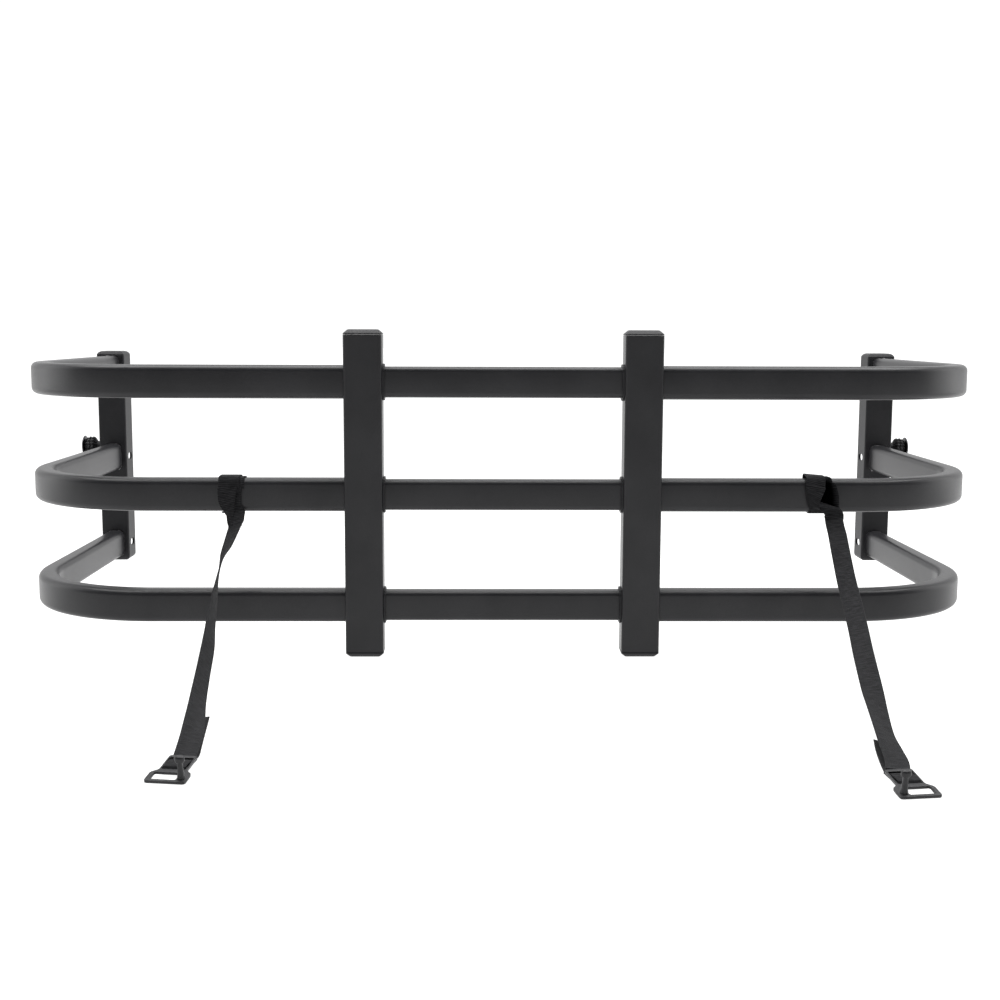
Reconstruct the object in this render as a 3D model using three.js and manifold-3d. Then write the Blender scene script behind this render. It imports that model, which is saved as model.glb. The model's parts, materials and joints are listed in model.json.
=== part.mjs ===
// Truck bed extender: a U-shaped cage of three bent tubes per side on three centre tubes.
// Millimetres, +Z up, +X to the right, +Y towards the truck's cab.
// The origin is on the ground, in the middle of the cage's footprint.
import * as THREE from "three";
import { mergeVertices } from "three/addons/utils/BufferGeometryUtils.js";
import Module from "manifold-3d";

const wasm = await Module();
wasm.setup();

// ---- Driving dimensions ----------------------------------------------------------------------
const GAP = 0.3; // between any two pieces that meet
const PAST = 1; // how far a cutting solid runs past the face that it opens

const HALF_WIDTH = 700; // from the middle to the outer face of a side arm
const ARM_LENGTH = 552; // from the centre line of the front tubes to the face of a rear post
const LEVELS = { bottom: 72, middle: 228, top: 384 }; // heights of the tubes' centre lines
const BEND_RADIUS = 194; // of a bent tube's centre line
const BEND_STEPS = 8;
const TUBE_SEGMENTS = 1; // fineness of every tube's round corners, the same on both, so that they nest

const TUBE = { height: 46, depth: 30, corner: 9, wall: 1.5 };
const CENTRE_TUBE = { height: 42.4, depth: 26.4, corner: 7.2, wall: 1.5, half: 300 };

const UPRIGHT = { x: 193, width: 53, depth: 40, height: 456, wall: 3, corner: 4 };
const CAP = { height: 7, chamfer: 6, plug: 16 };
const COLLAR = { thickness: 2.5, margin: 2 }; // margin: how far it stands proud of the tube's outline
const CLAMP_SCREW = { radius: 4, head: 6.5, headHeight: 5 };

const POST = { width: 48, depth: 48, bottom: 40.5, top: 415.5, wall: 3.5, corner: 3, end: 9 };
const SLOT = { length: 24, height: 12, setBack: 25 }; // in the inner side wall of a rear post
const TUBE_IN_POST = 12; // how far a tube's end stands behind the face of the post
const PLUG = { length: 30, flange: 2 };
const CROSS_SCREW = { radius: 2.5, head: 5.5, headHeight: 3, reach: 23, setBack: 8 };

const PIVOT = { z: 245, setBack: 28, shaft: 6, length: 34, flange: 18.5, flangeWidth: 2.5, washer: 11 };
const PIVOT_NUT = { radius: 11, height: 8 };

const WEBBING = { width: 25, thickness: 1.6 };
const HITCH = { left: { x: -374, width: 36 }, right: { x: 438, width: 46 }, thickness: 3 };

// The buckle's outline runs from its front edge (v = 0) to its rear bar.
const BUCKLE = {
  width: 44,
  length: 58,
  thickness: 4,
  neckWidth: 30,
  front: { from: 6, to: 18, left: -15, right: 11 },
  rear: { from: 27, to: 53, half: 12.8 },
  pin: { v: 31, radius: 1.5 },
  peg: { u: 15.5, v: 8, height: 24, stem: 2.9, foot: 4, head: 5.5, headHeight: 5 },
  tilt: THREE.MathUtils.degToRad(9),
};
// Where the middle of each buckle's front edge lies, and how far it is turned on the ground.
const BUCKLE_PLACE = {
  left: { x: -352, y: -558, turn: THREE.MathUtils.degToRad(-8.7) },
  right: { x: 401.5, y: -607, turn: THREE.MathUtils.degToRad(7.3) },
};

// Each strap's route from its hitch to its buckle, and each tail's from the buckle to its cut end,
// counted from the centre line of the front tubes.
const STRAP_ROUTE = {
  left: [
    [-369, -21.5, 206], [-367, -32, 193], [-368.5, -41, 183], [-373.5, -74, 160], [-376.5, -99, 143],
    [-374.5, -143, 119], [-371, -195, 93], [-366.5, -237, 74], [-363, -290, 52], [-358.5, -345, 34],
    [-353, -391, 24], [-347.5, -440, 16.5], [-345, -475, 12], [-344.05, -495.2, 8.9],
  ],
  right: [
    [458, -21.5, 202], [458, -33, 189], [458, -46, 179], [455.5, -72, 163], [451, -124, 131],
    [447.5, -170, 107], [442, -221, 85], [434.5, -274, 66], [425.5, -342, 44], [419.5, -386, 32],
    [412.5, -438, 20], [407, -485, 14], [403, -518, 11], [397.3, -542.8, 9.0],
  ],
};
const TAIL_ROUTE = {
  left: [[-344, -496, 6.2], [-345, -475, 3.6], [-349, -445, 1.7], [-354.5, -400, 1.3], [-361.5, -332, 1.3]],
  right: [[395, -544, 6.2], [397.5, -522, 3.6], [400.5, -497, 1.7], [407, -462, 1.3], [415.5, -425, 1.3]],
};

// ---- Materials -------------------------------------------------------------------------------
function finish(name, color, roughness, metalness) {
  return new THREE.MeshStandardMaterial({ name, color, roughness, metalness });
}
const POWDER_COAT = finish("powder coated aluminium", 0x2b2b2d, 0.5, 0.2);
const MOULDED_NYLON = finish("moulded nylon", 0x27282a, 0.6, 0);
const BLACK_OXIDE = finish("black oxide steel", 0x1c1c1e, 0.4, 0.8);
const CAST_ZINC = finish("painted zinc casting", 0x4a4a4c, 0.5, 0.4);
const WOVEN_STRAP = finish("woven polyester", 0x222224, 0.9, 0);

// ---- Joining and cutting ---------------------------------------------------------------------
// A closed geometry as a solid that can be joined and cut.
function solid(geometry) {
  const bare = geometry.clone();
  bare.deleteAttribute("normal");
  bare.deleteAttribute("uv");
  const merged = mergeVertices(bare, 1e-4);
  return new wasm.Manifold(
    new wasm.Mesh({
      numProp: 3,
      vertProperties: merged.attributes.position.array,
      triVerts: new Uint32Array(merged.index.array),
    }),
  );
}

function mesh(name, shape, material) {
  const made = shape.getMesh();
  const geometry = new THREE.BufferGeometry();
  geometry.setAttribute("position", new THREE.BufferAttribute(made.vertProperties, 3));
  geometry.setIndex(new THREE.BufferAttribute(made.triVerts, 1));
  geometry.computeVertexNormals();
  const node = new THREE.Mesh(geometry, material);
  node.name = name;
  return node;
}

// ---- Basic shapes ----------------------------------------------------------------------------
// A rectangle with round corners, centred on the origin.
function roundedRectangle(width, height, corner) {
  const x = width / 2 - corner;
  const y = height / 2 - corner;
  const outline = new THREE.Shape();
  outline.moveTo(-x, -y - corner);
  outline.absarc(x, -y, corner, -Math.PI / 2, 0, false);
  outline.absarc(x, y, corner, 0, Math.PI / 2, false);
  outline.absarc(-x, y, corner, Math.PI / 2, Math.PI, false);
  outline.absarc(-x, -y, corner, Math.PI, 1.5 * Math.PI, false);
  return outline;
}

// An outline in the XY plane carried up Z from one height to another.
function prism(outline, from, to, curveSegments = 2) {
  const made = new THREE.ExtrudeGeometry(outline, { depth: to - from, bevelEnabled: false, curveSegments });
  return made.translate(0, 0, from);
}

// A box from its lowest to its highest corner.
function block(low, high) {
  const made = new THREE.BoxGeometry(high[0] - low[0], high[1] - low[1], high[2] - low[2]);
  return made.translate((low[0] + high[0]) / 2, (low[1] + high[1]) / 2, (low[2] + high[2]) / 2);
}

// A turned shape about the X axis from (distance along X, radius) points that start and end on it.
function turned(profile, sides = 20) {
  const points = profile.map(([along, radius]) => new THREE.Vector2(radius, along));
  return new THREE.LatheGeometry(points, sides).rotateZ(-Math.PI / 2);
}

// A plain round rod along X from one end to the other.
function rod(from, to, radius, sides = 12) {
  return turned([[from, 0], [from, radius], [to, radius], [to, 0]], sides);
}

// A solid facing +X, turned to face -X on the left side of the cage.
function facing(side, geometry) {
  return side === "left" ? geometry.rotateZ(Math.PI) : geometry;
}

// ---- Bent tubes ------------------------------------------------------------------------------
// A bent tube's centre line: straight from the upright, round the bend, straight to the post.
class BentTubeLine extends THREE.Curve {
  constructor(sign, startX, endY) {
    super();
    const bendX = HALF_WIDTH - TUBE.depth / 2 - BEND_RADIUS;
    const place = (x, y) => new THREE.Vector3(sign * x, y, 0);
    this.places = [place(startX, 0)];
    this.headings = [place(1, 0)];
    for (let step = 0; step <= BEND_STEPS; step++) {
      const angle = (step / BEND_STEPS) * (Math.PI / 2);
      const across = bendX + BEND_RADIUS * Math.sin(angle);
      const back = BEND_RADIUS - BEND_RADIUS * Math.cos(angle);
      this.places.push(place(across, back));
      this.headings.push(place(Math.cos(angle), Math.sin(angle)));
    }
    this.places.push(place(bendX + BEND_RADIUS, endY));
    this.headings.push(place(0, 1));
    this.steps = this.places.length - 1;
  }
  getPointAt(u) {
    return this.places[Math.round(u * this.steps)].clone();
  }
  getTangentAt(u) {
    return this.headings[Math.round(u * this.steps)].clone();
  }
}

// A rounded rectangular bar along a bent tube's line; the outline's X runs up the tube's height.
function bentBar(sign, startX, endY, height, depth, corner) {
  const line = new BentTubeLine(sign, startX, endY);
  const outline = roundedRectangle(height, depth, corner);
  return solid(
    new THREE.ExtrudeGeometry(outline, {
      steps: line.steps,
      extrudePath: line,
      curveSegments: TUBE_SEGMENTS,
    }),
  );
}

const UPRIGHT_INNER_X = UPRIGHT.x - UPRIGHT.width / 2;
const ARM_X = HALF_WIDTH - TUBE.depth / 2;
const TUBE_END_Y = ARM_LENGTH + TUBE_IN_POST;
const CLAMP_HOLE = CLAMP_SCREW.radius + GAP;
const CROSS_HOLE = CROSS_SCREW.radius + GAP;
const CROSS_SCREW_Y = ARM_LENGTH + CROSS_SCREW.setBack;

// A cutter for a screw hole that runs back along Y through the rear wall at x = 0, z = 0.
function rearwardHole(radius, fromY, toY) {
  return solid(rod(fromY, toY, radius).rotateZ(Math.PI / 2));
}

function bentTube(side, level) {
  const sign = side === "left" ? -1 : 1;
  const outer = bentBar(sign, UPRIGHT_INNER_X, TUBE_END_Y, TUBE.height, TUBE.depth, TUBE.corner);
  const inner = bentBar(
    sign,
    UPRIGHT_INNER_X - PAST,
    TUBE_END_Y + PAST,
    TUBE.height - 2 * TUBE.wall,
    TUBE.depth - 2 * TUBE.wall,
    TUBE.corner - TUBE.wall,
  );
  const clampHole = rearwardHole(CLAMP_HOLE, 0, TUBE.depth).translate([sign * UPRIGHT.x, 0, 0]);
  const crossHole = solid(facing(side, rod(0, TUBE.depth, CROSS_HOLE))).translate([
    sign * ARM_X,
    CROSS_SCREW_Y,
    0,
  ]);
  const tube = outer.subtract(inner).subtract(clampHole).subtract(crossHole);
  return mesh(`bent_tube_${side}_${level}`, tube.translate([0, 0, LEVELS[level]]), POWDER_COAT);
}

function centreTube(level) {
  const { height, depth, corner, wall, half } = CENTRE_TUBE;
  const outer = roundedRectangle(height, depth, corner);
  outer.holes.push(roundedRectangle(height - 2 * wall, depth - 2 * wall, corner - wall));
  const bar = solid(prism(outer, -half, half, TUBE_SEGMENTS).rotateY(Math.PI / 2));
  return mesh(`centre_tube_${level}`, bar.translate([0, 0, LEVELS[level]]), POWDER_COAT);
}

// ---- Front uprights --------------------------------------------------------------------------
// A window for a tube, cut along X through both side walls of a piece.
function tubeWindow(height, depth, corner, from, to) {
  return solid(prism(roundedRectangle(height, depth, corner), from, to).rotateY(Math.PI / 2));
}

function upright(side, sign) {
  const { width, depth, height, wall, corner } = UPRIGHT;
  const profile = roundedRectangle(width, depth, corner);
  profile.holes.push(roundedRectangle(width - 2 * wall, depth - 2 * wall, 1));
  let shape = solid(prism(profile, CAP.height + GAP, height - CAP.height - GAP));
  for (const z of Object.values(LEVELS)) {
    const window = tubeWindow(
      TUBE.height + 2 * GAP,
      TUBE.depth + 2 * GAP,
      TUBE.corner,
      -width / 2 - PAST,
      width / 2 + PAST,
    );
    shape = shape.subtract(window.translate([0, 0, z]));
    shape = shape.subtract(rearwardHole(CLAMP_HOLE, 0, depth / 2 + PAST).translate([0, 0, z]));
  }
  return mesh(`upright_${side}`, shape.translate([sign * UPRIGHT.x, 0, 0]), MOULDED_NYLON);
}

// A chamfered plug that closes an upright; it is made for the top and turned over for the bottom.
function uprightCap(side, sign, end) {
  const { width, depth, height, wall } = UPRIGHT;
  const rim = [width / 2, depth / 2];
  const slope = CAP.chamfer;
  const lid = new THREE.ExtrudeGeometry(roundedRectangle(width, depth, UPRIGHT.corner), {
    depth: CAP.height,
    bevelEnabled: false,
    curveSegments: 2,
  });
  const place = lid.attributes.position;
  for (let i = 0; i < place.count; i++) {
    if (place.getZ(i) < CAP.height) continue;
    place.setX(i, place.getX(i) * ((rim[0] - slope) / rim[0]));
    place.setY(i, place.getY(i) * ((rim[1] - slope) / rim[1]));
  }
  const inside = [width / 2 - wall - GAP, depth / 2 - wall - GAP];
  const plug = block([-inside[0], -inside[1], -CAP.plug], [inside[0], inside[1], PAST]);
  const cap = solid(lid).add(solid(plug));
  const placed =
    end === "top"
      ? cap.translate([sign * UPRIGHT.x, 0, height - CAP.height])
      : cap.rotate([180, 0, 0]).translate([sign * UPRIGHT.x, 0, CAP.height]);
  return mesh(`upright_cap_${side}_${end}`, placed, MOULDED_NYLON);
}

// The ring round a centre tube where it leaves the inner side of an upright.
function collar(side, sign, level) {
  const { thickness, margin } = COLLAR;
  const outline = roundedRectangle(TUBE.height + 2 * margin, TUBE.depth + 2 * margin, TUBE.corner + margin);
  const { height, depth, corner } = CENTRE_TUBE;
  outline.holes.push(roundedRectangle(height + 2 * GAP, depth + 2 * GAP, corner + GAP));
  const edge = UPRIGHT_INNER_X - GAP;
  const ring = solid(prism(outline, edge - thickness, edge).rotateY(Math.PI / 2));
  const placed = sign < 0 ? ring.rotate([0, 0, 180]) : ring;
  return mesh(`tube_collar_${side}_${level}`, placed.translate([0, 0, LEVELS[level]]), MOULDED_NYLON);
}

// A screw in the rear wall of an upright whose point presses on the centre tube.
function clampScrew(side, sign, level) {
  const { radius, head, headHeight } = CLAMP_SCREW;
  const point = CENTRE_TUBE.depth / 2 + GAP;
  const seat = UPRIGHT.depth / 2 + GAP;
  const profile = [
    [point, 0], [point, radius], [seat, radius], [seat, head],
    [seat + headHeight, head], [seat + headHeight, 0],
  ];
  const screw = solid(turned(profile, 12).rotateZ(Math.PI / 2));
  const placed = screw.translate([sign * UPRIGHT.x, 0, LEVELS[level]]);
  return mesh(`clamp_screw_${side}_${level}`, placed, BLACK_OXIDE);
}

// ---- Rear posts ------------------------------------------------------------------------------
function rearPost(side, sign) {
  const { width, depth, bottom, top, wall, corner, end } = POST;
  const middle = (bottom + top) / 2;
  const height = top - bottom;
  const plan = solid(prism(roundedRectangle(width, depth, corner), -height, height));
  const front = solid(prism(roundedRectangle(width, height, end), -depth, depth).rotateX(Math.PI / 2));
  const flank = solid(prism(roundedRectangle(height, depth, end), -width, width).rotateY(Math.PI / 2));
  let shape = plan.intersect(front).intersect(flank);
  const room = [width / 2 - wall, depth / 2, height / 2 - wall];
  shape = shape.subtract(solid(block([-room[0], wall - room[1], -room[2]], [room[0], depth, room[2]])));
  shape = shape.translate([sign * ARM_X, ARM_LENGTH + depth / 2, middle]);
  for (const z of Object.values(LEVELS)) {
    const window = solid(
      prism(
        roundedRectangle(TUBE.depth + 2 * GAP, TUBE.height + 2 * GAP, TUBE.corner),
        -wall - PAST,
        wall + PAST,
      ).rotateX(Math.PI / 2),
    );
    shape = shape.subtract(window.translate([sign * ARM_X, ARM_LENGTH, z]));
    const slot = solid(
      prism(roundedRectangle(SLOT.height, SLOT.length, SLOT.height / 2 - 0.1), 0, width / 2 + PAST).rotateY(
        Math.PI / 2,
      ),
    );
    const inward = sign < 0 ? slot : slot.rotate([0, 0, 180]);
    shape = shape.subtract(inward.translate([sign * ARM_X, ARM_LENGTH + SLOT.setBack, z]));
    const hole = solid(facing(side, rod(0, width / 2 + PAST, CROSS_HOLE)));
    shape = shape.subtract(hole.translate([sign * ARM_X, CROSS_SCREW_Y, z]));
  }
  const pivotHole = solid(facing(side, rod(0, width / 2 + PAST, PIVOT.shaft + GAP)));
  shape = shape.subtract(pivotHole.translate([sign * ARM_X, ARM_LENGTH + PIVOT.setBack, PIVOT.z]));
  return mesh(`rear_post_${side}`, shape, MOULDED_NYLON);
}

// The plug in the rear end of a bent tube, with a thin flange over the tube's edge.
function tubePlug(side, sign, level) {
  const { height, depth, corner } = CENTRE_TUBE;
  const body = prism(roundedRectangle(depth, height, corner), -PLUG.flange, PLUG.length, TUBE_SEGMENTS);
  const edge = roundedRectangle(TUBE.depth, TUBE.height, TUBE.corner);
  const flange = prism(edge, -PLUG.flange - GAP, -GAP, TUBE_SEGMENTS);
  const hole = solid(facing(side, rod(0, TUBE.depth, CROSS_HOLE)));
  const drilled = hole.translate([0, CROSS_SCREW_Y - TUBE_END_Y, 0]);
  const plug = solid(body.rotateX(Math.PI / 2))
    .add(solid(flange.rotateX(Math.PI / 2)))
    .subtract(drilled);
  const placed = plug.translate([sign * ARM_X, TUBE_END_Y, LEVELS[level]]);
  return mesh(`tube_plug_${side}_${level}`, placed, MOULDED_NYLON);
}

// The screw that runs from the outer side wall of a rear post into a tube's plug.
function crossScrew(side, sign, level) {
  const { radius, head, headHeight, reach } = CROSS_SCREW;
  const seat = POST.width / 2 + GAP;
  const profile = [
    [seat - reach, 0], [seat - reach, radius], [seat, radius], [seat, head],
    [seat + headHeight, head - 1.5], [seat + headHeight, 0],
  ];
  const screw = solid(facing(side, turned(profile, 12)));
  const placed = screw.translate([sign * ARM_X, CROSS_SCREW_Y, LEVELS[level]]);
  return mesh(`post_screw_${side}_${level}`, placed, BLACK_OXIDE);
}

// ---- Pivot studs -----------------------------------------------------------------------------
// Everything on a stud is turned about the X axis and counted from the outer face of the post.
function onPivot(side, sign, name, shape, material) {
  const x = sign * (ARM_X + POST.width / 2);
  const outward = sign < 0 ? shape.rotate([0, 0, 180]) : shape;
  const placed = outward.translate([x, ARM_LENGTH + PIVOT.setBack, PIVOT.z]);
  return mesh(`${name}_${side}`, placed, material);
}

function pivotStud(side, sign) {
  const { shaft, length, flange, flangeWidth, washer } = PIVOT;
  const inside = -POST.wall - GAP - PIVOT_NUT.height - 2;
  const collarEnd = GAP + flangeWidth;
  const profile = [
    [inside, 0], [inside, shaft], [GAP, shaft], [GAP, washer], [collarEnd, washer], [collarEnd, shaft],
    [length - flangeWidth, shaft], [length - flangeWidth, flange], [length, flange - 0.8], [length, 0],
  ];
  return onPivot(side, sign, "pivot_stud", solid(turned(profile)), BLACK_OXIDE);
}

// The roller: a neck next to the post, a cone, then a barrel with two grooves.
function pivotRoller(side, sign) {
  const from = 2 * GAP + PIVOT.flangeWidth;
  const to = PIVOT.length - PIVOT.flangeWidth - GAP;
  const bore = PIVOT.shaft + GAP;
  const neck = 9;
  const barrel = 17;
  const groove = 14.5;
  const profile = [
    [from, bore], [from, neck], [from + 6, neck], [from + 12, barrel],
    [from + 15, barrel], [from + 15.5, groove], [from + 17.5, groove], [from + 18, barrel],
    [from + 21, barrel], [from + 21.5, groove], [from + 23.5, groove], [from + 24, barrel - 1],
    [to, neck + 2], [to, bore], [from, bore],
  ];
  return onPivot(side, sign, "pivot_roller", solid(turned(profile)), MOULDED_NYLON);
}

function pivotNut(side, sign) {
  const outer = -POST.wall - GAP;
  const inner = outer - PIVOT_NUT.height;
  const hexagon = solid(rod(inner, outer, PIVOT_NUT.radius, 6));
  const bore = solid(rod(inner - PAST, outer + PAST, PIVOT.shaft + GAP, 20));
  return onPivot(side, sign, "pivot_nut", hexagon.subtract(bore), BLACK_OXIDE);
}

// ---- Straps and buckles ----------------------------------------------------------------------
// The webbing's hitch round the middle tube.
function strapHitch(side) {
  const { x, width } = HITCH[side];
  const outer = 2 * (HITCH.thickness + GAP);
  const outline = roundedRectangle(TUBE.height + outer, TUBE.depth + outer, TUBE.corner + outer / 2);
  outline.holes.push(roundedRectangle(TUBE.height + 2 * GAP, TUBE.depth + 2 * GAP, TUBE.corner + GAP));
  const ring = solid(prism(outline, -width / 2, width / 2).rotateY(Math.PI / 2));
  return mesh(`strap_hitch_${side}`, ring.translate([x, 0, LEVELS.middle]), WOVEN_STRAP);
}

const UP = new THREE.Vector3(0, 0, 1);

// A flat length of webbing along a route that starts at its first point and runs down the list. Its
// width stays level all the way: four corners at each station, joined to the next station's four.
function webbing(name, route) {
  const line = new THREE.CatmullRomCurve3(route.map((point) => new THREE.Vector3(...point)));
  const stations = 2 * route.length;
  const corners = [];
  for (let i = 0; i <= stations; i += 1) {
    const centre = line.getPointAt(i / stations);
    const along = line.getTangentAt(i / stations);
    const across = new THREE.Vector3().crossVectors(along, UP).setLength(WEBBING.width / 2);
    const out = new THREE.Vector3().crossVectors(across, along).setLength(WEBBING.thickness / 2);
    for (const [u, v] of [[-1, -1], [1, -1], [1, 1], [-1, 1]]) {
      corners.push(...centre.clone().addScaledVector(across, u).addScaledVector(out, v).toArray());
    }
  }
  const faces = [0, 1, 2, 0, 2, 3];
  for (let i = 0; i < stations; i += 1) {
    for (let k = 0; k < 4; k += 1) {
      const here = 4 * i + k;
      const next = 4 * i + ((k + 1) % 4);
      faces.push(here, here + 4, next, next, here + 4, next + 4);
    }
  }
  const last = 4 * stations;
  faces.push(last, last + 2, last + 1, last, last + 3, last + 2);
  const ribbon = new THREE.BufferGeometry();
  ribbon.setAttribute("position", new THREE.Float32BufferAttribute(corners, 3));
  ribbon.setIndex(faces);
  return mesh(name, solid(ribbon), WOVEN_STRAP);
}

// A flat ring of points: the outline of the buckle's plate seen from above, front edge first.
function plateOutline() {
  const w = BUCKLE.width / 2;
  const n = BUCKLE.neckWidth / 2;
  const corner = 3;
  const shoulder = BUCKLE.rear.from - 1;
  return new THREE.Shape(
    [
      [corner - w, 0], [w - corner, 0], [w, corner], [w, shoulder - 6], [n, shoulder], [n, BUCKLE.length - 1],
      [n - 1, BUCKLE.length], [1 - n, BUCKLE.length], [-n, BUCKLE.length - 1], [-n, shoulder],
      [-w, shoulder - 6], [-w, corner],
    ].map(([u, v]) => new THREE.Vector2(u, v)),
  );
}

// The buckle lies flat here, u across and v back; the peg is on the side towards the cage's middle.
function buckleFrame(pegSide) {
  const { front, rear, thickness, pin, peg } = BUCKLE;
  const flip = ([u0, u1]) => (pegSide > 0 ? [u0, u1] : [-u1, -u0]);
  const [left, right] = flip([front.left, front.right]);
  let frame = solid(prism(plateOutline(), 0, thickness));
  frame = frame.subtract(solid(block([left, front.from, -PAST], [right, front.to, thickness + PAST])));
  frame = frame.subtract(solid(block([-rear.half, rear.from, -PAST], [rear.half, rear.to, thickness + PAST])));
  const overlap = rear.half + 1;
  frame = frame.add(solid(rod(-overlap, overlap, pin.radius).translate(0, pin.v, thickness / 2)));
  const top = thickness + peg.height;
  const neckTop = top - peg.headHeight;
  const profile = [
    [thickness / 2, 0], [thickness / 2, peg.foot], [thickness + 2, peg.foot], [thickness + 6, peg.stem],
    [neckTop - 2, peg.stem], [neckTop, peg.head], [top - 1, peg.head], [top, peg.head - 1], [top, 0],
  ];
  const upright = turned(profile, 12).rotateY(-Math.PI / 2);
  return frame.add(solid(upright.translate(pegSide * peg.u, peg.v, 0)));
}

// The doubled end of the webbing: it goes round the pin and back under the rear bar.
function strapEnd() {
  const { pin, thickness, length, rear } = BUCKLE;
  const middle = thickness / 2;
  const reach = pin.radius + GAP + WEBBING.thickness;
  const outline = new THREE.Shape();
  outline.moveTo(length + 1, -0.5);
  outline.lineTo(rear.to - 1.5, -0.5);
  outline.absarc(pin.v, middle, reach, Math.PI / 3, 1.5 * Math.PI, false);
  outline.lineTo(length + 1, -3.8);
  const hole = new THREE.Path();
  hole.absarc(pin.v, middle, pin.radius + GAP, 0, 2 * Math.PI, true);
  outline.holes.push(hole);
  const half = WEBBING.width / 2 - 0.2;
  return solid(
    new THREE.ExtrudeGeometry(outline, { depth: 2 * half, bevelEnabled: false, curveSegments: 4 })
      .translate(0, 0, -half)
      .rotateX(Math.PI / 2)
      .rotateZ(Math.PI / 2),
  );
}

function buckleGroup(side) {
  const { x, y, turn } = BUCKLE_PLACE[side];
  const group = new THREE.Group();
  group.add(mesh(`buckle_${side}`, buckleFrame(side === "left" ? 1 : -1), CAST_ZINC));
  group.add(mesh(`strap_end_${side}`, strapEnd(), WOVEN_STRAP));
  group.position.set(x, y, GAP);
  group.rotation.set(BUCKLE.tilt, 0, turn, "ZXY");
  return group;
}

// ---- The whole cage --------------------------------------------------------------------------
const extender = new THREE.Group();
for (const level of Object.keys(LEVELS)) extender.add(centreTube(level));
for (const side of ["left", "right"]) {
  const sign = side === "left" ? -1 : 1;
  extender.add(upright(side, sign), uprightCap(side, sign, "top"), uprightCap(side, sign, "bottom"));
  extender.add(rearPost(side, sign), pivotStud(side, sign), pivotRoller(side, sign), pivotNut(side, sign));
  for (const level of Object.keys(LEVELS)) {
    extender.add(bentTube(side, level), collar(side, sign, level), clampScrew(side, sign, level));
    extender.add(tubePlug(side, sign, level), crossScrew(side, sign, level));
  }
  extender.add(strapHitch(side), buckleGroup(side));
  extender.add(webbing(`strap_${side}`, STRAP_ROUTE[side]), webbing(`strap_tail_${side}`, TAIL_ROUTE[side]));
}

// The front tubes' centre line stands this far in front of the middle of the footprint.
const FRONT_FACE_Y = -UPRIGHT.depth / 2;
const REAR_FACE_Y = ARM_LENGTH + POST.depth;
extender.position.y = -(FRONT_FACE_Y + REAR_FACE_Y) / 2;

export default extender;
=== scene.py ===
# %% [markdown]
# A truck bed extender: three bent tubes on three levels, two front uprights, two rear posts with
# their pivot studs, and two webbing straps that end in cast buckles. The solid parts come packed from
# the CAD model. Here each visible one gets a fine surface and the finish of the real material, and
# the two straps are woven webbing instead of plain strips.

import json
import math

import bmesh
import bpy
import numpy as np
from mathutils import Matrix, Vector


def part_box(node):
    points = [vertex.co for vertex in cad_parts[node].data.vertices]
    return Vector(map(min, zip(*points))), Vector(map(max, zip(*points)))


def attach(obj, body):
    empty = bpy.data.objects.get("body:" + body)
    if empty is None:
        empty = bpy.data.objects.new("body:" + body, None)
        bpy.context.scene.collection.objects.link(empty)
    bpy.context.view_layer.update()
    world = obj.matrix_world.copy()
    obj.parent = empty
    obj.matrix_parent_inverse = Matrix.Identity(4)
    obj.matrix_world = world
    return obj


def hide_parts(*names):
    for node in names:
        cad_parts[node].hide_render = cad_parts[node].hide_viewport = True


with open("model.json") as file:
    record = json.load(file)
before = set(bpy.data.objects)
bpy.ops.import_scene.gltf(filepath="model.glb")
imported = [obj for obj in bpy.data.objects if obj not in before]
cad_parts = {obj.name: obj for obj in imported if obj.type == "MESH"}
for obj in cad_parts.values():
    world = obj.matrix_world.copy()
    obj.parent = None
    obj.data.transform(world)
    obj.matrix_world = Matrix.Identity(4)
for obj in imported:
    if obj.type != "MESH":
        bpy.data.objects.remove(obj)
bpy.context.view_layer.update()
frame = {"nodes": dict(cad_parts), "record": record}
SIDES = {"left": -1.0, "right": 1.0}
LEVELS = ("bottom", "middle", "top")
MM = 0.001

# %% [markdown]
# The camera stands low and straight in front of the cage, about two metres away, and looks down by
# seven degrees. A 50 mm lens on a full-frame sensor gives the true proportions of near and far tubes.
# Its place is written as a matrix: its right, its up and the way back from where it looks.

# %% Camera
CAMERA_PLACE = Vector((-0.0368, -2.199, 0.4582))
CAMERA_DOWN = 0.1240
CAMERA_TURN = 0.0171
CAMERA_ROLL = 0.0037
LENS_MM = 49.64

level_part = math.cos(CAMERA_DOWN)
look = Vector(
    (math.sin(CAMERA_TURN) * level_part, math.cos(CAMERA_TURN) * level_part, -math.sin(CAMERA_DOWN))
)
level_right = Vector((math.cos(CAMERA_TURN), -math.sin(CAMERA_TURN), 0.0))
level_up = level_right.cross(look)
right = level_right * math.cos(CAMERA_ROLL) + level_up * math.sin(CAMERA_ROLL)
up = level_up * math.cos(CAMERA_ROLL) - level_right * math.sin(CAMERA_ROLL)
camera = bpy.data.objects.new("camera", bpy.data.cameras.new("camera"))
bpy.context.scene.collection.objects.link(camera)
camera.data.lens = LENS_MM
camera.data.sensor_width = 36.0
camera.matrix_world = Matrix((right, up, -look)).transposed().to_4x4()
camera.location = CAMERA_PLACE
bpy.context.scene.camera = camera
print("camera looks along", [round(value, 4) for value in look])

# %% [markdown]
# Nearly every new piece is a grid of points: rows that follow each other along a path, each row a
# closed ring. One helper turns such an array into a mesh, with or without caps on its two ends, so
# that all the shapes below are only formulas. A tiny UV map goes with it: how far round, how far along,
# both in metres, which is what the woven pattern on the straps reads.

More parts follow.
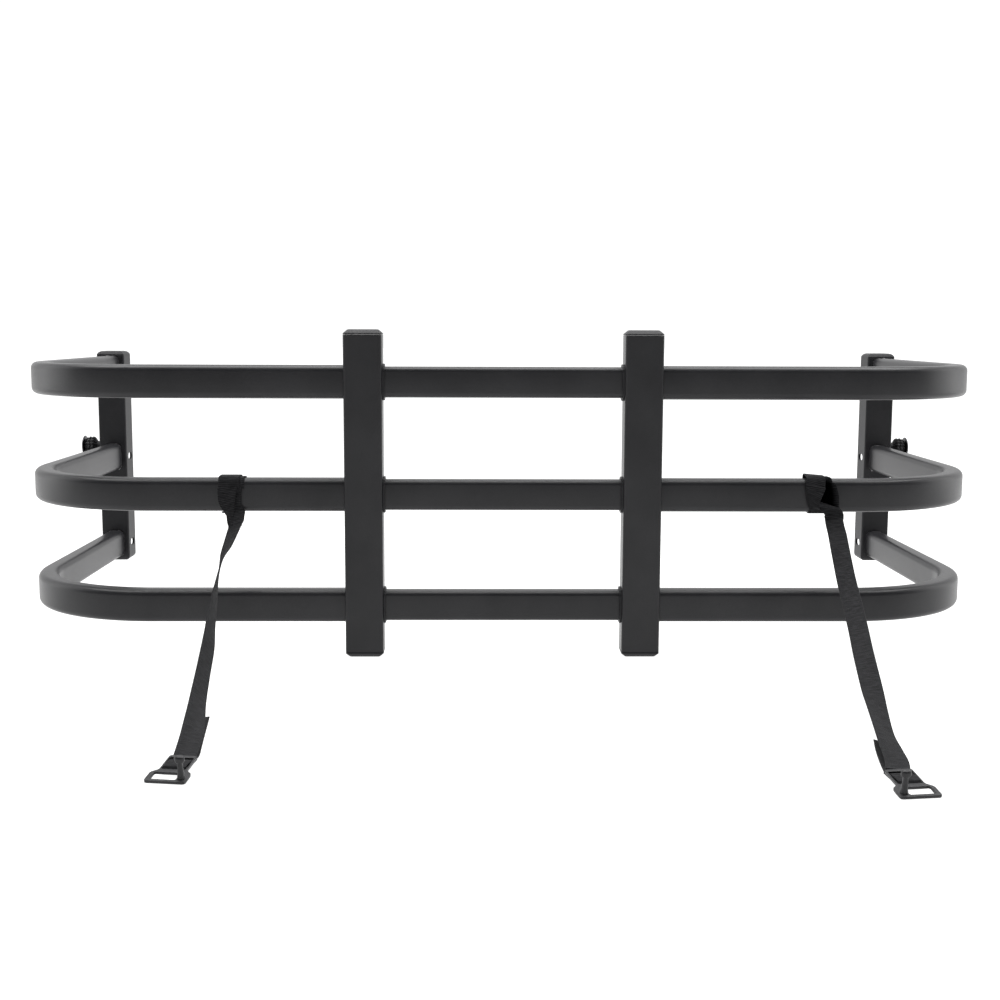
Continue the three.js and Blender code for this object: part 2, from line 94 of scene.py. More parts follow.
# %% From a grid of rings to a mesh
def mesh_from_rings(name, rings, around=None, along=None, closed=False):
    """rings is an array (rows, points, 3). Row i joins row i + 1, and the last point of a ring joins
    its first. Open shapes get a fan on each end, and closed ones join the last row to the first."""
    rows, points, _ = rings.shape
    below = np.arange(rows if closed else rows - 1)[:, None]
    above = (below + 1) % rows
    here = np.arange(points)[None, :]
    there = (here + 1) % points
    below, above = below * points, above * points
    quads = np.stack([below + here, below + there, above + there, above + here], axis=-1).reshape(-1, 4)
    vertices = rings.reshape(-1, 3)
    faces = quads.tolist()
    if not closed:
        ends = np.stack([rings[0].mean(axis=0), rings[-1].mean(axis=0)])
        vertices = np.vstack([vertices, ends])
        first = rows * points
        turn = np.arange(points)
        next_turn = (turn + 1) % points
        last_row = (rows - 1) * points
        start_fan = np.stack([next_turn, turn, np.full(points, first)], axis=-1)
        end_fan = np.stack([last_row + turn, last_row + next_turn, np.full(points, first + 1)], axis=-1)
        faces += start_fan.tolist() + end_fan.tolist()
    data = bpy.data.meshes.new(name)
    data.from_pydata(vertices.tolist(), [], faces)
    if around is not None:
        corner_vertex = np.zeros(len(data.loops), dtype=np.int64)
        data.loops.foreach_get("vertex_index", corner_vertex)
        u = np.append(np.broadcast_to(around[None, :], (rows, points)).ravel(), [0.0, 0.0])
        v = np.append(np.broadcast_to(along[:, None], (rows, points)).ravel(), [along[0], along[-1]])
        layer = data.uv_layers.new(name="webbing")
        layer.data.foreach_set("uv", np.stack([u[corner_vertex], v[corner_vertex]], axis=-1).ravel())
    data.update()
    piece = bpy.data.objects.new(name, data)
    bpy.context.scene.collection.objects.link(piece)
    face_outwards(piece)
    return piece


def face_outwards(piece):
    """A closed mesh has a positive volume when its faces point out, by the sum of a . (b x c) / 6 over
    its triangles. If the sum is negative, every face is turned round."""
    data = piece.data
    data.calc_loop_triangles()
    corners = np.zeros(3 * len(data.loop_triangles), dtype=np.int64)
    data.loop_triangles.foreach_get("vertices", corners)
    place = np.zeros(3 * len(data.vertices))
    data.vertices.foreach_get("co", place)
    a, b, c = place.reshape(-1, 3)[corners.reshape(-1, 3)].transpose(1, 0, 2)
    if np.einsum("ij,ij->i", a, np.cross(b, c)).sum() < 0:
        data.flip_normals()


def smooth(piece, degrees=35.0):
    """Shades smooth, with a hard edge wherever two faces meet at more than the angle given."""
    piece.data.shade_smooth()
    piece.data.set_sharp_from_angle(angle=math.radians(degrees))
    return piece


print("grid helper ready")

# %% [markdown]
# A strap has a real length, so it is made first. It is 25 mm polyester webbing. Each one leaves its
# hitch on the middle tube, swings forward past the bottom tube and ends in its buckle on the ground.
# Its route is a short list of points that follow the way a person lays a strap, with a roll at each point
# that says how far its width is turned out of level. A Catmull-Rom spline rounds both lists.

# %% The straps' routes
tube_low, tube_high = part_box("centre_tube_middle")
LINE_Y = (tube_low.y + tube_high.y) / 2
WEBBING_WIDTH = 25 * MM
WEBBING_THICK = 1.5 * MM

# Each point is x, y from the front tubes' centre line, z in millimetres, then the roll in degrees.
STRAP_ROUTE = {
    "left": [
        (-369, -21.5, 206, -12), (-367, -32, 193, -20), (-368.5, -41, 183, -28),
        (-373.5, -74, 160, -42), (-376.5, -99, 143, -72), (-374.5, -143, 119, -92),
        (-371, -195, 93, -108), (-366.5, -237, 74, -118), (-363, -290, 52, -122),
        (-358.5, -345, 34, -130), (-353, -391, 24, -145), (-347.5, -440, 16.5, -165),
        (-345, -475, 12, -176), (-344.05, -495.2, 8.9, -180),
    ],
    "right": [
        (458, -21.5, 202, -6), (458, -33, 189, -8), (458, -46, 179, -10), (455.5, -72, 163, -14),
        (451, -124, 131, -16), (447.5, -170, 107, -16), (442, -221, 85, -16), (434.5, -274, 66, -16),
        (425.5, -342, 44, -8), (419.5, -386, 32, 12), (412.5, -438, 20, 22), (407, -485, 14, 10),
        (403, -518, 11, 2), (397.3, -542.8, 9.0, 0),
    ],
}
TAIL_ROUTE = {
    "left": [
        (-344, -496, 6.2, 0), (-345, -475, 3.6, 0), (-349, -445, 1.7, 0), (-354.5, -400, 1.5, 0),
        (-361.5, -332, 3.4, 6),
    ],
    "right": [
        (395, -544, 6.2, 0), (399, -522, 3.8, -4), (402.5, -500, 3.0, -8), (408, -468, 3.2, -12),
        (414.3, -437, 4.4, -16),
    ],
}


def spline(points, count):
    """Catmull-Rom: between two points the curve is (2p1 + (p2 - p0)t + (2p0 - 5p1 + 4p2 - p3)t^2
    + (3p1 - p0 - 3p2 + p3)t^3) / 2, sampled here at evenly spaced count places along its length."""
    p = np.asarray(points, dtype=float)
    p = np.vstack([2 * p[0] - p[1], p, 2 * p[-1] - p[-2]])
    t = np.linspace(0, 1, 40, endpoint=False)[None, :, None]
    p0, p1, p2, p3 = (p[i : len(p) - 3 + i][:, None, :] for i in range(4))
    squared = 2 * p0 - 5 * p1 + 4 * p2 - p3
    cubed = 3 * p1 - p0 - 3 * p2 + p3
    curve = (2 * p1 + (p2 - p0) * t + squared * t**2 + cubed * t**3) / 2
    curve = np.vstack([curve.reshape(-1, p.shape[1]), p[-2]])
    step = np.linalg.norm(np.diff(curve[:, :3], axis=0), axis=1)
    travelled = np.append(0, np.cumsum(step))
    wanted = np.linspace(0, travelled[-1], count)
    return np.stack([np.interp(wanted, travelled, column) for column in curve.T], axis=-1), travelled[-1]


print("routes:", {side: len(route) for side, route in STRAP_ROUTE.items()})

# %% [markdown]
# Webbing is a flat ring of points carried along the route: two long faces, and edges that are rounded
# because the outer threads turn back there. The ring lies across the path. Its width starts level and
# is then turned about the path by the roll, which is how the left strap comes to be seen edge-on
# half way up.

# %% Webbing along a route
EDGE_POINTS = 5
FACE_POINTS = 14


def flat_section(width, thick):
    """A stadium: two straight faces joined by half circles. Returns its points, across and out, and
    the distance across for the woven pattern."""
    half = width / 2 - thick / 2
    bend = np.linspace(-np.pi / 2, np.pi / 2, EDGE_POINTS)
    face = np.linspace(-half, half, FACE_POINTS)[1:-1]
    x = np.concatenate([face, half + np.cos(bend) * thick / 2, -face, -half - np.cos(bend) * thick / 2])
    y = np.concatenate([np.full(face.size, -thick / 2), np.sin(bend) * thick / 2])
    return x, np.concatenate([y, -y])


def carry(name, centre, across, out, along, width_scale=None):
    """The ring at a station is centre + x * across + y * out, for each point (x, y) of the section."""
    x, y = flat_section(WEBBING_WIDTH, WEBBING_THICK)
    scale = np.ones(len(centre)) if width_scale is None else width_scale
    rings = (
        centre[:, None, :]
        + (x[None, :] * scale[:, None])[:, :, None] * across[:, None, :]
        + y[None, :, None] * out[:, None, :]
    )
    return smooth(mesh_from_rings(name, rings, around=x, along=along), 50)


def webbing_on_route(name, route, count):
    """Along the route, across = level * cos(roll) + upright * sin(roll), where level is the path's
    direction x up and upright is level x direction."""
    curve, length = spline(route, count)
    centre = (curve[:, :3] + np.array([0, LINE_Y / MM, 0])) * MM
    roll = np.radians(curve[:, 3])[:, None]
    path = np.gradient(centre, axis=0)
    path /= np.linalg.norm(path, axis=1)[:, None]
    level = np.cross(path, [0.0, 0.0, 1.0])
    level /= np.linalg.norm(level, axis=1)[:, None]
    upright = np.cross(level, path)
    across = level * np.cos(roll) + upright * np.sin(roll)
    out = np.cross(across, path)
    along = np.linspace(0, length * MM, count)
    return carry(name, centre, across, out, along), centre, length * MM


straps = {}
for side in SIDES:
    strap, centre, length = webbing_on_route(f"woven_strap_{side}", STRAP_ROUTE[side], 220)
    tail, _, tail_length = webbing_on_route(f"woven_tail_{side}", TAIL_ROUTE[side], 70)
    straps[side] = (strap, tail, centre, length)
    print(side, "strap", round(length, 3), "m, tail", round(tail_length, 3), "m")

# %% [markdown]
# The webbing's end in the buckle passes under the rear bar, round a pin and back under itself. It is
# the same flat ring, carried along a path worked out in the buckle's own frame: u across, v back from
# its front edge and w up. The frame comes from three facts of the CAD buckle: where its front edge is,
# how far it is turned on the ground and how far its rear end is tipped up.

# %% The buckle's own frame
BUCKLE_PLACE = {"left": (-352.0, -558.0, -8.7), "right": (401.5, -607.0, 7.3)}
BUCKLE_TILT = math.radians(9)
BUCKLE = {"width": 44, "length": 58, "thick": 3.2, "neck": 30, "pin_v": 31, "pin_radius": 1.5}
REST_GAP_MM = 0.3


def buckle_frame(side):
    """place = origin + R (u, v, w), with R a tilt about the buckle's width, then a turn about Z."""
    x, y, turn = BUCKLE_PLACE[side]
    turning = Matrix.Rotation(math.radians(turn), 4, "Z") @ Matrix.Rotation(BUCKLE_TILT, 4, "X")
    return Matrix.Translation(Vector((x, y + LINE_Y / MM, REST_GAP_MM)) * MM) @ turning


def in_frame(matrix, points_mm):
    """Points in millimetres in a piece's own frame, as points in metres in the model's frame."""
    place = np.array(matrix)
    return (np.asarray(points_mm) * MM) @ place[:3, :3].T + place[:3, 3]


def webbing_in_buckle(side):
    """A path in the v, w plane: in under the rear bar, up to the plate's level at once, half a turn
    round the pin and back underneath. Its two layers lie a little more than the webbing's thickness
    apart under the bar, and end where the strap and its tail begin."""
    turn = np.linspace(0.5 * np.pi, 1.5 * np.pi, 24)
    reach = BUCKLE["pin_radius"] + 0.3 + WEBBING_THICK / MM / 2
    middle = BUCKLE["thick"] / 2
    under_bar = np.linspace(BUCKLE["length"] + 5.6, BUCKLE["length"] - 4, 10)
    into = np.linspace(BUCKLE["length"] - 5, BUCKLE["pin_v"] + 3, 30)
    round_pin = BUCKLE["pin_v"] + np.cos(turn) * reach
    rise = np.linspace(0, 1, into.size) ** 0.35
    upper_w, lower_w, lower_end_w = -1.3, -3.1, -3.9
    v = np.concatenate([under_bar, into, round_pin, into[::-1], under_bar[::-1]])
    w = np.concatenate(
        [
            np.full(under_bar.size, upper_w),
            upper_w + rise * (middle + reach - upper_w),
            middle + np.sin(turn) * reach,
            np.linspace(middle - reach, lower_w, into.size),
            np.linspace(lower_w, lower_end_w, under_bar.size),
        ]
    )
    curve, length = spline(np.stack([np.zeros(v.size), v, w], axis=-1), 120)
    path = np.gradient(curve, axis=0)
    path /= np.linalg.norm(path, axis=1)[:, None]
    across = np.tile([1.0, 0.0, 0.0], (len(curve), 1))
    out = np.cross(across, path)
    matrix = buckle_frame(side)
    turning = np.array(matrix)[:3, :3].T
    centre = in_frame(matrix, curve)
    along = np.linspace(0, length * MM, len(curve))
    slimmer = np.full(len(curve), 0.98)
    return carry(f"woven_end_{side}", centre, across @ turning, out @ turning, along, slimmer)


ends = {side: webbing_in_buckle(side) for side in SIDES}
print("webbing ends:", [piece.name for piece in ends.values()])

# %% [markdown]
# Where a strap goes round the tube it is folded, twisted and laid over itself. Such a fold has no
# single axis to roll about, so it is given by its two edges: a left and a right line of points, with
# the webbing stretched between them. Both hitches wrap the tube from behind, over its top and down
# its front. The left one gathers into a narrow neck. The right one has an open eye that its strap
# comes out of.

# %% Webbing between two edges
def webbing_between(name, left, right, count=70):
    """Each station's ring lies on the line between the two edges, and stands out along that line x the
    path. The edges are splines through given points in millimetres: x from the middle of the hitch, y from
    the tubes' centre line and z from the ground."""
    ring_low, ring_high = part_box(f"strap_hitch_{name.split('_')[-1]}")
    offset = np.array([(ring_low.x + ring_high.x) / 2, LINE_Y, 0]) / MM
    left_edge = (spline(left, count)[0] + offset) * MM
    right_edge = (spline(right, count)[0] + offset) * MM
    centre = (left_edge + right_edge) / 2
    across = right_edge - left_edge
    width = np.linalg.norm(across, axis=1)
    across /= width[:, None]
    path = np.gradient(centre, axis=0)
    path -= np.einsum("ij,ij->i", path, across)[:, None] * across
    path /= np.linalg.norm(path, axis=1)[:, None]
    out = np.cross(across, path)
    travelled = np.append(0, np.cumsum(np.linalg.norm(np.diff(centre, axis=0), axis=1)))
    return carry(name, centre, across, out, travelled, width / WEBBING_WIDTH)


tube_z = (tube_low.z + tube_high.z) / 2 / MM
outer_low, outer_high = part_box("bent_tube_left_middle")
TUBE_HEIGHT = (outer_high.z - outer_low.z) / MM
TUBE_DEPTH = 2 * (LINE_Y - outer_low.y) / MM
TUBE_CORNER = 9.0


def round_the_tube(x, gap, start, end, count=40):
    """Points on a rounded rectangle outside the tube by the gap, which may change along the way. The
    angle runs from straight back (0 degrees) over the top (90) to the front (180) and under (270).
    A superellipse of power 5 with the tube's half sizes is close to its rounded corners."""
    angle = np.radians(np.linspace(start, end, count))
    half_y, half_z = TUBE_DEPTH / 2 + gap, TUBE_HEIGHT / 2 + gap
    size = (np.abs(np.cos(angle) / half_y) ** 5 + np.abs(np.sin(angle) / half_z) ** 5) ** (-1 / 5)
    across = np.broadcast_to(np.asarray(x, dtype=float), (count,))
    return np.stack([across, size * np.cos(angle), tube_z + size * np.sin(angle)], axis=-1)


print("tube section", round(TUBE_HEIGHT, 1), "x", round(TUBE_DEPTH, 1), "mm")

# %% The two hitches
hitches = {"left": [], "right": []}
# Left, the outer layer: over the top, down the front and gathered into the neck.
outer_left = [(-19.5, -18.5, 238), (-18.2, -19.5, 219), (-11.5, -22, 207), (-1.5, -29, 195)]
outer_right = [(8.5, -19.5, 241), (5.5, -20.5, 226), (4, -24, 208), (3.5, -30, 194)]
hitches["left"].append(
    webbing_between(
        "hitch_outer_layer_left",
        np.vstack([round_the_tube(-18.5, 2.9, -60, 150), outer_left]),
        np.vstack([round_the_tube(10, 2.9, -60, 150), outer_right]),
        110,
    )
)
# Left, the layer under it, a finger's width to the right, with the stitched edge.
under_left = [(-4, -17.6, 236), (0, -18.5, 214), (2, -24, 200), (4, -33, 188)]
under_right = [(13.5, -17.4, 238), (13, -17.8, 216), (18.2, -18.5, 206), (14.5, -28, 187)]
hitches["left"].append(
    webbing_between(
        "hitch_under_layer_left",
        np.vstack([round_the_tube(-6, 1.1, -60, 150), under_left]),
        np.vstack([round_the_tube(16.5, 1.1, -60, 150), under_right]),
        110,
    )
)
# Left, behind: both layers close up under the tube.
hitches["left"].append(
    webbing_between(
        "hitch_back_left",
        np.vstack([round_the_tube(-15, 2.0, -50, -120), [(-4, -19, 203), (2, -33, 190)]]),
        np.vstack([round_the_tube(14, 2.0, -50, -120), [(17, -18, 202), (13, -33, 184)]]),
        90,
    )
)
# Right, the wide band: loose over the top at its outer edge, down the front, its foot turned under.
band_outer = round_the_tube(np.linspace(-13, -19, 40), np.linspace(8.0, 3.0, 40), 0, 150)
band_inner = round_the_tube(np.linspace(12, 7.5, 40), np.linspace(1.6, 5.6, 40), 0, 150)
outer_front = [(-18.8, -18.6, 241), (-16.8, -18.8, 226), (-13.2, -18.2, 212)]
inner_front = [(7.0, -24.0, 238), (-0.8, -25.5, 218), (3.5, -21.5, 209)]
outer_foot = round_the_tube(-12, 1.4, 228, 290, 10)
inner_foot = round_the_tube(11, 1.4, 228, 290, 10)
hitches["right"].append(
    webbing_between(
        "hitch_band_right",
        np.vstack([band_outer, outer_front, outer_foot]),
        np.vstack([band_inner, inner_front, inner_foot]),
        130,
    )
)
# Right, the eye: a loop that bulges off the band and back, and frames the hole.
eye_inner = [(1.5, -16.2, 247), (0.0, -16.0, 232), (3, -16.0, 212), (6, -15.0, 207)]
eye_outer = [(22, -20.0, 246), (26.5, -22.5, 231), (27, -21.5, 212), (24, -17.0, 206)]
hitches["right"].append(
    webbing_between(
        "hitch_eye_right",
        np.vstack([round_the_tube(1.5, 0.9, 20, 135, 30), eye_inner]),
        np.vstack([round_the_tube(np.linspace(14, 19, 30), 2.2, 20, 135, 30), eye_outer]),
        80,
    )
)
# Right, the strap's own start: it comes out of the eye over a curled lip and turns down.
mouth_left = [(-0.5, -19.5, 221), (-1.8, -25.5, 217), (2, -26.5, 211), (6, -24.5, 205)]
mouth_left += [(8.6, -25.4, 198.5)]
mouth_right = [(27.5, -19, 212.5), (28.8, -23.5, 211.5), (31, -25.5, 209), (33.6, -24.2, 204)]
mouth_right += [(33.4, -26.2, 197)]
hitches["right"].append(webbing_between("hitch_mouth_right", mouth_left, mouth_right, 60))
for side, pieces in hitches.items():
    for piece in pieces:
        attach(piece, f"{side}_half")
    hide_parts(f"strap_hitch_{side}")
print("hitch pieces:", {side: len(pieces) for side, pieces in hitches.items()})

# %% What each piece of webbing rides on and stands for
for side, (strap, tail, _, _) in straps.items():
    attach(strap, f"{side}_half")
    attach(tail, f"{side}_half")
    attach(ends[side], f"{side}_buckle")
    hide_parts(f"strap_{side}")
    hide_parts(f"strap_tail_{side}")
    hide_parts(f"strap_end_{side}")

# %% [markdown]
# The tubes are extruded aluminium with a rounded rectangular section, bent once on a large radius.
# The CAD tube has few facets, because its physics needs no more. Here the same section goes along the
# same line with fine steps: the ring is a rounded rectangle, the line is a straight, a quarter circle
# and a straight.

# %% Fine tubes
BEND_RADIUS = 194 * MM


def rounded_rectangle(width, height, corner, steps=8):
    """Four quarter circles of the corner's radius, each centred a radius in from both sides."""
    quarter = np.linspace(0, np.pi / 2, steps)
    angle = np.concatenate([quarter + k * np.pi / 2 for k in range(4)])
    sign_x = np.repeat([1, -1, -1, 1], steps)
    sign_y = np.repeat([1, 1, -1, -1], steps)
    x = sign_x * (width / 2 - corner) + corner * np.cos(angle)
    y = sign_y * (height / 2 - corner) + corner * np.sin(angle)
    return x, y


def tube_line(start_x, arm_x, end_y, bend_steps=40):
    """x and y of the line and its heading: straight along X, then x = a + R sin t, y = R - R cos t."""
    bend_x = arm_x - BEND_RADIUS
    t = np.linspace(0, np.pi / 2, bend_steps)
    front = np.linspace(start_x, bend_x, 12)[:-1]
    arm = np.linspace(BEND_RADIUS, end_y, 14)[1:]
    x = np.concatenate([front, bend_x + BEND_RADIUS * np.sin(t), np.full(arm.size, arm_x)])
    y = np.concatenate([np.zeros(front.size), BEND_RADIUS * (1 - np.cos(t)), arm])
    heading = np.concatenate([np.zeros(front.size), t, np.full(arm.size, np.pi / 2)])
    return x, y, heading


def bent_tube(side, level):
    sign = SIDES[side]
    node = f"bent_tube_{side}_{level}"
    low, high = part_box(node)
    height = high.z - low.z
    depth = 2 * (LINE_Y - low.y)
    outer_x = high.x if sign > 0 else -low.x
    start_x = low.x if sign > 0 else -high.x
    x, y, heading = tube_line(start_x, outer_x - depth / 2, high.y - LINE_Y)
    section_out, section_up = rounded_rectangle(depth, height, TUBE_CORNER * MM)
    out_x = np.sin(heading)
    out_y = -np.cos(heading)
    rings = np.stack(
        [
            sign * (x[:, None] + out_x[:, None] * section_out),
            LINE_Y + y[:, None] + out_y[:, None] * section_out,
            np.broadcast_to((low.z + high.z) / 2 + section_up, (x.size, section_up.size)),
        ],
        axis=-1,
    )
    piece = smooth(mesh_from_rings(f"smooth_{node}", rings))
    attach(piece, f"{side}_half")
    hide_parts(node)
    return piece


tubes = [bent_tube(side, level) for side in SIDES for level in LEVELS]
for level in LEVELS:
    low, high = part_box(f"centre_tube_{level}")
    section_y, section_z = rounded_rectangle(high.y - low.y, high.z - low.z, 7.2 * MM)
    x = np.linspace(low.x, high.x, 12)
    rings = np.stack(
        [
            np.broadcast_to(x[:, None], (x.size, section_y.size)),
            np.broadcast_to(LINE_Y + section_y, (x.size, section_y.size)),
            np.broadcast_to((low.z + high.z) / 2 + section_z, (x.size, section_z.size)),
        ],
        axis=-1,
    )
    piece = smooth(mesh_from_rings(f"smooth_centre_tube_{level}", rings))
    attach(piece, "root")
    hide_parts(f"centre_tube_{level}")
    tubes.append(piece)
print("tubes:", len(tubes))

# %% [markdown]
# The uprights are rectangular extrusions with small round corners, closed at both ends by a plug whose
# rim slopes inwards. On the real piece the light runs along those corners, so they need true arcs. A
# cap is the same rounded rectangle at several heights, drawn in as it rises, with a soft edge at
# each change of slope.

# %% Uprights and their caps
UPRIGHT_CORNER = 4 * MM


def stacked_outline(name, centre, width, depth, levels, insets):
    """Rings of a rounded rectangle at the heights given, each side moved in by its inset. The corner's
    radius shrinks by half of the inset."""
    rings = []
    for z, inset in zip(levels, insets):
        corner = max(UPRIGHT_CORNER - inset * 0.5, 1.2 * MM)
        x, y = rounded_rectangle(width - 2 * inset, depth - 2 * inset, corner)
        rings.append(np.stack([centre[0] + x, centre[1] + y, np.full(x.size, z)], axis=-1))
    return smooth(mesh_from_rings(name, np.array(rings)))


uprights = []
for side in SIDES:
    low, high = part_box(f"upright_{side}")
    middle = ((low.x + high.x) / 2, (low.y + high.y) / 2)
    width, depth = high.x - low.x, high.y - low.y
    edge = 0.5 * MM
    shaft = stacked_outline(
        f"smooth_upright_{side}",
        middle,
        width,
        depth,
        [low.z, low.z + edge, *np.linspace(low.z, high.z, 12)[1:-1], high.z - edge, high.z],
        [edge, 0.0, *[0.0] * 10, 0.0, edge],
    )
    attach(shaft, f"{side}_half")
    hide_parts(f"upright_{side}")
    uprights.append(shaft)
    for end in ("top", "bottom"):
        low_cap, high_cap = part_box(f"upright_cap_{side}_{end}")
        lid_from = high.z + 0.3 * MM if end == "top" else low.z - 0.3 * MM
        lid_to = high_cap.z if end == "top" else low_cap.z
        rise = np.array([0.0, 0.06, 0.16, 0.28, 0.86, 0.95, 1.0])
        inset = np.array([0.3, 0.0, 0.0, 0.5, 5.2, 6.2, 7.4]) * MM
        lid = stacked_outline(
            f"chamfered_cap_{side}_{end}",
            middle,
            width,
            depth,
            lid_from + rise * (lid_to - lid_from),
            inset,
        )
        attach(lid, f"{side}_half")
        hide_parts(f"upright_cap_{side}_{end}")
        uprights.append(lid)
print("upright pieces:", len(uprights))

# %% [markdown]
# A pivot stud is turned steel with a thin outer flange. On it turns a moulded roller with ribs like a
# hand knob. Both are profiles spun about the stud's axis. The roller's radius also depends on the
# angle: it swells and shrinks in a smooth wave, which gives the ribs.

# %% Pivot studs and rollers
def spun_rings(origin, outward, profile, turns, ribs=0, rib_depth=0.0, ribbed=None):
    """x = origin + outward * along, and y, z = r (cos t, sin t), with r lowered by
    rib_depth * (1 - cos(ribs t)) / 2 on the ribbed part of the profile."""
    along, radius = np.array(profile, dtype=float).T * MM
    t = np.linspace(0, 2 * np.pi, turns, endpoint=False)
    wave = rib_depth * MM * (1 - np.cos(ribs * t)) / 2
    share = np.zeros(along.size) if ribbed is None else np.array(ribbed, dtype=float)
    r = radius[:, None] - share[:, None] * wave[None, :]
    x = np.broadcast_to((origin[0] + outward * along)[:, None], r.shape)
    return np.stack([x, origin[1] + r * np.cos(t), origin[2] + r * np.sin(t)], axis=-1)


# How far a stud stands out of its post. Its profile, and the roller's, start from the post's face.
STUD_REACH = 34 * MM
pivots = []
for side, sign in SIDES.items():
    low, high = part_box(f"pivot_stud_{side}")
    end_x = high.x if sign > 0 else low.x
    origin = (end_x - sign * STUD_REACH, (low.y + high.y) / 2, (low.z + high.z) / 2)
    stud_profile = [
        (-13.8, 0.4), (-13.8, 5.2), (-13.0, 6), (0.3, 6), (0.3, 10.4), (0.8, 11), (2.3, 11), (2.8, 10.4),
        (2.8, 6), (31.5, 6), (31.5, 17.9), (31.9, 18.5), (33.0, 18.4), (33.6, 17.8), (34, 17), (34, 0.4),
    ]
    stud = mesh_from_rings(f"turned_stud_{side}", spun_rings(origin, sign, stud_profile, 96))
    smooth(stud, 30)
    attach(stud, f"{side}_half")
    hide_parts(f"pivot_stud_{side}")
    roller_profile = [
        (3.1, 6.4), (3.1, 8.4), (3.6, 9), (8.6, 9), (10.0, 10), (14.0, 15.6), (15.4, 16.9), (18.0, 17),
        (18.6, 16.4), (18.9, 14.6), (20.4, 14.5), (20.7, 16.4), (21.3, 17), (23.8, 17), (24.4, 16.4),
        (24.7, 14.6), (26.2, 14.5), (26.5, 15.6), (27.1, 16), (29.5, 13.5), (31.0, 11), (31.0, 6.4),
    ]
    ribbed = [0, 0, 0, 0, 0.2, 0.8, 1, 1, 1, 0.2, 0.2, 1, 1, 1, 1, 0.2, 0.2, 1, 1, 0.5, 0, 0]
    roller_rings = spun_rings(origin, sign, roller_profile, 192, 16, 2.4, ribbed)
    roller = mesh_from_rings(f"ribbed_roller_{side}", roller_rings, closed=True)
    smooth(roller, 40)
    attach(roller, f"{side}_roller")
    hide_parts(f"pivot_roller_{side}")
    pivots.append((stud, roller))
print("pivots:", len(pivots))

# %% [markdown]
# Each buckle is a zinc casting: a plate with two windows, a narrower neck, a cross pin and a T-shaped
# peg. Blender's flat curve is the natural tool for a plate with windows: closed outlines, filled, given
# a thickness, with a rounded bevel all round that shrinks back by its own radius so the size stays true.

# %% Buckle plates
BEVEL = 0.6


def window(left, right, front, rear):
    """A rectangle with its corners cut by a millimetre, as (u, v) points."""
    points = [(left, front + 1), (left, rear - 1), (left + 1, rear), (right - 1, rear)]
    return points + [(right, rear - 1), (right, front + 1), (right - 1, front), (left + 1, front)]


def plate_outlines(peg_side):
    """The outer outline and the two windows, as (u, v) points in millimetres, v back from the front.
    The front window leaves room for the peg's foot on one side."""
    w, n, length = BUCKLE["width"] / 2, BUCKLE["neck"] / 2, BUCKLE["length"]
    half = [(w - 3, 0), (w - 0.9, 0.9), (w, 3), (w, 17.5), (w - 0.8, 20), (n + 0.8, 25.2), (n, 27.5)]
    half += [(n, length - 3), (n - 0.9, length - 0.9), (n - 3, length)]
    outer = half + [(-u, v) for u, v in reversed(half)]
    left, right = (-17, 10.6) if peg_side > 0 else (-10.6, 17)
    return outer, window(left, right, 4.4, 19.4), window(-13.2, 13.2, 27, 53)


def cast_plate(side, peg_side):
    curve = bpy.data.curves.new(f"plate_outline_{side}", "CURVE")
    curve.dimensions = "2D"
    curve.fill_mode = "BOTH"
    curve.extrude = (BUCKLE["thick"] / 2 - BEVEL) * MM
    curve.bevel_depth = BEVEL * MM
    curve.bevel_resolution = 4
    curve.offset = -BEVEL * MM
    for outline in plate_outlines(peg_side):
        line = curve.splines.new("POLY")
        line.points.add(len(outline) - 1)
        flat = np.array([(u * MM, v * MM, 0.0, 1.0) for u, v in outline])
        line.points.foreach_set("co", flat.ravel())
        line.use_cyclic_u = True
    holder = bpy.data.objects.new(f"plate_outline_{side}", curve)
    bpy.context.scene.collection.objects.link(holder)
    bpy.context.view_layer.update()
    shaped = holder.evaluated_get(bpy.context.evaluated_depsgraph_get())
    data = bpy.data.meshes.new_from_object(shaped)
    bpy.data.objects.remove(holder)
    place = buckle_frame(side) @ Matrix.Translation((0, 0, BUCKLE["thick"] / 2 * MM))
    data.transform(place)
    piece = bpy.data.objects.new(f"cast_plate_{side}", data)
    bpy.context.scene.collection.objects.link(piece)
    work = bmesh.new()
    work.from_mesh(data)
    bmesh.ops.remove_doubles(work, verts=work.verts, dist=1e-6)
    bmesh.ops.recalc_face_normals(work, faces=work.faces)
    work.to_mesh(data)
    work.free()
    face_outwards(piece)
    return smooth(piece, 30)


def peg_rings(side, peg_side):
    """A turned peg: height and radius pairs, with a wide foot, a waist and a flat T head. At the top it
    is widened along u and narrowed along v, so that the head is longer than it is broad."""
    profile = [
        (1.4, 4.4), (3.4, 4.2), (5.5, 3.8), (8, 3.4), (14, 3.0), (19, 2.9), (20.6, 3.2),
        (21.4, 4.1), (22.4, 4.5), (25.4, 4.6), (26.8, 4.3), (27.7, 3.4), (28, 0.3),
    ]
    height, radius = np.array(profile).T
    t = np.linspace(0, 2 * np.pi, 40, endpoint=False)
    headed = np.clip((height - 20) / 2, 0, 1)
    u = peg_side * 15.5 + (radius * (1 + 0.18 * headed))[:, None] * np.cos(t)
    v = 8 + (radius * (1 - 0.15 * headed))[:, None] * np.sin(t)
    w = np.broadcast_to(height[:, None], u.shape)
    return in_frame(buckle_frame(side), np.stack([u, v, w], axis=-1))


